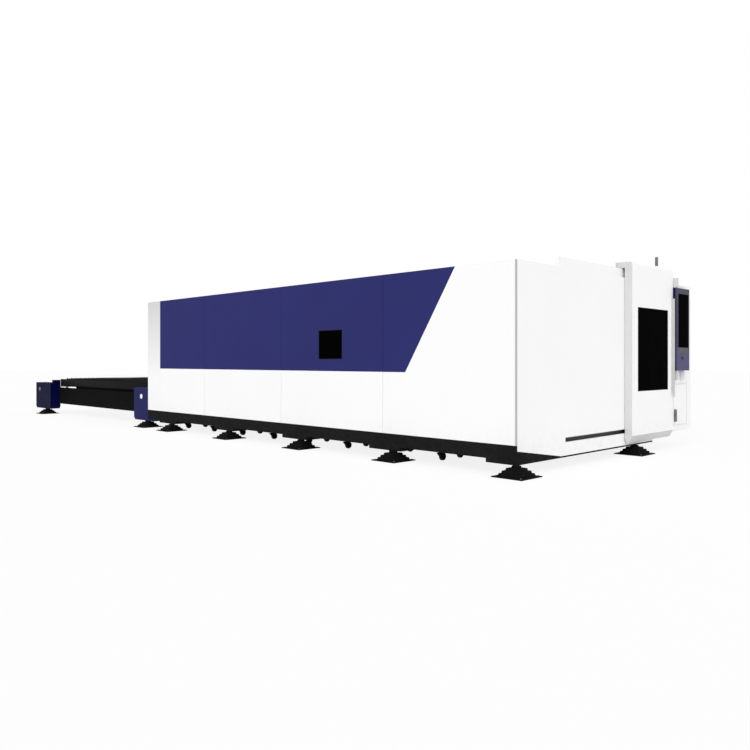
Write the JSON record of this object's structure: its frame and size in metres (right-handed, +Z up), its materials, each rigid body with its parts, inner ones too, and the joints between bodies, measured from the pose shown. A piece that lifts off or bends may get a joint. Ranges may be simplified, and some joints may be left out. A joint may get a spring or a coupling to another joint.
{
  "type": "enclosed fibre laser cutting machine",
  "caption": "Enclosed sheet-metal laser cutting machine with a sliding front door, an operator panel, a moving beam and cutting head, slag carts and a pallet exchange table.",
  "frame": {"origin": "on the floor, under the middle of the overall box", "axes": "+Z up, +X along the machine towards the operator's end with the sliding door, +Y towards the side with the control bay"},
  "size_m": [13.592, 4.39, 2.667],
  "materials": {
    "white_paint": "satin powder coat",
    "light_grey_paint": "satin powder coat",
    "blue_paint": "satin powder coat",
    "table_blue_paint": "satin powder coat",
    "panel_blue_paint": "satin powder coat",
    "charcoal_paint": "matte powder coat",
    "dark_trim": "matte",
    "dark_glass": "polished, almost opaque laser shield",
    "screen_black": "gloss",
    "key_grey": "matte",
    "ground_steel": "ground",
    "slat_steel": "mill scale, scorched by cutting",
    "galvanised": "galvanised",
    "aluminium_beam": "blasted",
    "motor_black": "matte",
    "stop_dark": "matte",
    "copper_tip": "turned",
    "cart_steel": "matte",
    "roller_nylon": "matte",
    "chain_steel": "oiled"
  },
  "bodies": {
    "machine_frame": {"levelling_feet": "charcoal_paint", "base_frame": "charcoal_paint", "bed_walls": "charcoal_paint", "x_rails": "ground_steel", "x_racks": "ground_steel", "pallet_rails": "ground_steel", "near_white_panels": "white_paint", "near_blue_panels": "blue_paint", "near_window": "dark_glass", "far_panels": "white_paint", "rear_hoods": "light_grey_paint", "front_wall": "white_paint", "rear_wall": "white_paint", "roof_panels": "white_paint", "cabin_floor": "charcoal_paint", "door_rails": "galvanised", "console_shell": "white_paint", "control_plate": "galvanised", "signal_lamp": "dark_trim", "laser_source": "light_grey_paint", "panel_brackets": "light_grey_paint", "lift_cylinders": "aluminium_beam", "table_frame": "charcoal_paint", "table_leg_covers": "table_blue_paint", "drive_gearmotors": "motor_black", "drive_chains": "chain_steel", "chain_shoes": "dark_trim"},
    "front_door": {"front_door_leaf": "white_paint", "front_door_window": "dark_glass", "front_door_handle": "light_grey_paint"},
    "roller_near": {"door_roller_near": "roller_nylon"},
    "roller_far": {"door_roller_far": "roller_nylon"},
    "operator_panel": {"panel_housing": "panel_blue_paint", "panel_screen": "screen_black", "panel_keys": "key_grey"},
    "stop_button": {"emergency_stop": "stop_dark"},
    "cabinet_hatch": {"cabinet_door": "white_paint", "cabinet_handle": "dark_trim"},
    "gantry": {"gantry_beam": "aluminium_beam", "beam_guides": "ground_steel", "x_gearmotors": "motor_black"},
    "pinion_near": {"x_pinion_near": "ground_steel"},
    "pinion_far": {"x_pinion_far": "ground_steel"},
    "carriage": {"y_carriage": "aluminium_beam", "carriage_motors": "motor_black"},
    "pinion_cross": {"y_pinion": "ground_steel"},
    "height_slide": {"z_slide": "aluminium_beam", "cutting_head": "dark_trim", "nozzle": "copper_tip"},
    "upper_pallet": {"upper_pallet_frame": "charcoal_paint", "upper_pallet_slats": "slat_steel"},
    "lower_pallet": {"lower_pallet_frame": "charcoal_paint", "lower_pallet_slats": "slat_steel"},
    "upper_shaft": {"upper_drive_shaft": "ground_steel"},
    "lower_shaft": {"lower_drive_shaft": "ground_steel"},
    "lift_door": {"rear_door": "white_paint"},
    "cart_1": {"slag_cart_1": "cart_steel"},
    "cart_2": {"slag_cart_2": "cart_steel"},
    "cart_3": {"slag_cart_3": "cart_steel"},
    "cart_4": {"slag_cart_4": "cart_steel"}
  },
  "joints": [
    {"name": "front_door_slide", "type": "slide", "parent": "machine_frame", "child": "front_door", "axis": [0, -1, 0], "range_m": [0, 1.38]},
    {"name": "roller_near_spin", "type": "hinge", "parent": "front_door", "child": "roller_near", "pos_m": [6.551, 0.585, 2.4003], "axis": [1, 0, 0], "range_deg": [-10, 2650]},
    {"name": "roller_far_spin", "type": "hinge", "parent": "front_door", "child": "roller_far", "pos_m": [6.551, 1.355, 2.4003], "axis": [1, 0, 0], "range_deg": [-10, 2650]},
    {"name": "panel_swing", "type": "hinge", "parent": "machine_frame", "child": "operator_panel", "pos_m": [6.742, 1.591, 1.6], "axis": [0, 0, -1], "range_deg": [0, 75]},
    {"name": "stop_button_press", "type": "slide", "parent": "operator_panel", "child": "stop_button", "axis": [-1, 0, 0], "range_m": [0, 0.006], "stiffness_N_per_m": 400},
    {"name": "cabinet_hatch_swing", "type": "hinge", "parent": "machine_frame", "child": "cabinet_hatch", "pos_m": [6.7063, 2.042, 0.6], "axis": [0, 0, 1], "range_deg": [0, 110]},
    {"name": "gantry_travel", "type": "slide", "parent": "machine_frame", "child": "gantry", "axis": [-1, 0, 0], "range_m": [0, 4.69]},
    {"name": "pinion_near_spin", "type": "hinge", "parent": "gantry", "child": "pinion_near", "pos_m": [4.626, -1.7847, 0.9], "axis": [0, 0, 1], "range_deg": [-10, 8970]},
    {"name": "pinion_far_spin", "type": "hinge", "parent": "gantry", "child": "pinion_far", "pos_m": [4.626, 0.9647, 0.9], "axis": [0, 0, 1], "range_deg": [-8970, 10]},
    {"name": "carriage_travel", "type": "slide", "parent": "gantry", "child": "carriage", "axis": [0, 1, 0], "range_m": [-1.13, 1.13]},
    {"name": "pinion_cross_spin", "type": "hinge", "parent": "carriage", "child": "pinion_cross", "pos_m": [4.241, -0.29, 1.1606], "axis": [1, 0, 0], "range_deg": [-2660, 2660]},
    {"name": "height_travel", "type": "slide", "parent": "carriage", "child": "height_slide", "axis": [0, 0, 1], "range_m": [-0.35, 0]},
    {"name": "rear_door_lift", "type": "slide", "parent": "machine_frame", "child": "lift_door", "axis": [0, 0, 1], "range_m": [-0.62, 0]},
    {"name": "upper_pallet_travel", "type": "slide", "parent": "machine_frame", "child": "upper_pallet", "axis": [1, 0, 0], "range_m": [0, 5.25]},
    {"name": "lower_pallet_travel", "type": "slide", "parent": "machine_frame", "child": "lower_pallet", "axis": [1, 0, 0], "range_m": [-5.25, 0]},
    {"name": "upper_shaft_spin", "type": "hinge", "parent": "machine_frame", "child": "upper_shaft", "pos_m": [-6.376, -0.41, 0.602], "axis": [0, 1, 0], "range_deg": [-10, 8800]},
    {"name": "lower_shaft_spin", "type": "hinge", "parent": "machine_frame", "child": "lower_shaft", "pos_m": [-6.376, -0.41, 0.345], "axis": [0, 1, 0], "range_deg": [-8800, 10]},
    {"name": "cart_1_pull", "type": "slide", "parent": "machine_frame", "child": "cart_1", "axis": [0, 1, 0], "range_m": [0, 2.6]},
    {"name": "cart_2_pull", "type": "slide", "parent": "machine_frame", "child": "cart_2", "axis": [0, 1, 0], "range_m": [0, 2.6]},
    {"name": "cart_3_pull", "type": "slide", "parent": "machine_frame", "child": "cart_3", "axis": [0, 1, 0], "range_m": [0, 2.6]},
    {"name": "cart_4_pull", "type": "slide", "parent": "machine_frame", "child": "cart_4", "axis": [0, 1, 0], "range_m": [0, 2.6]}
  ],
  "couplings": [
    {"joint": "roller_near_spin", "follows": "front_door_slide", "rad_per_m": 33.333},
    {"joint": "roller_far_spin", "follows": "front_door_slide", "rad_per_m": 33.333},
    {"joint": "pinion_near_spin", "follows": "gantry_travel", "rad_per_m": 33.333},
    {"joint": "pinion_far_spin", "follows": "gantry_travel", "rad_per_m": -33.333},
    {"joint": "pinion_cross_spin", "follows": "carriage_travel", "rad_per_m": -40},
    {"joint": "lower_pallet_travel", "follows": "upper_pallet_travel", "ratio": -1},
    {"joint": "upper_shaft_spin", "follows": "upper_pallet_travel", "rad_per_m": 29.2},
    {"joint": "lower_shaft_spin", "follows": "upper_pallet_travel", "rad_per_m": -29.2}
  ]
}
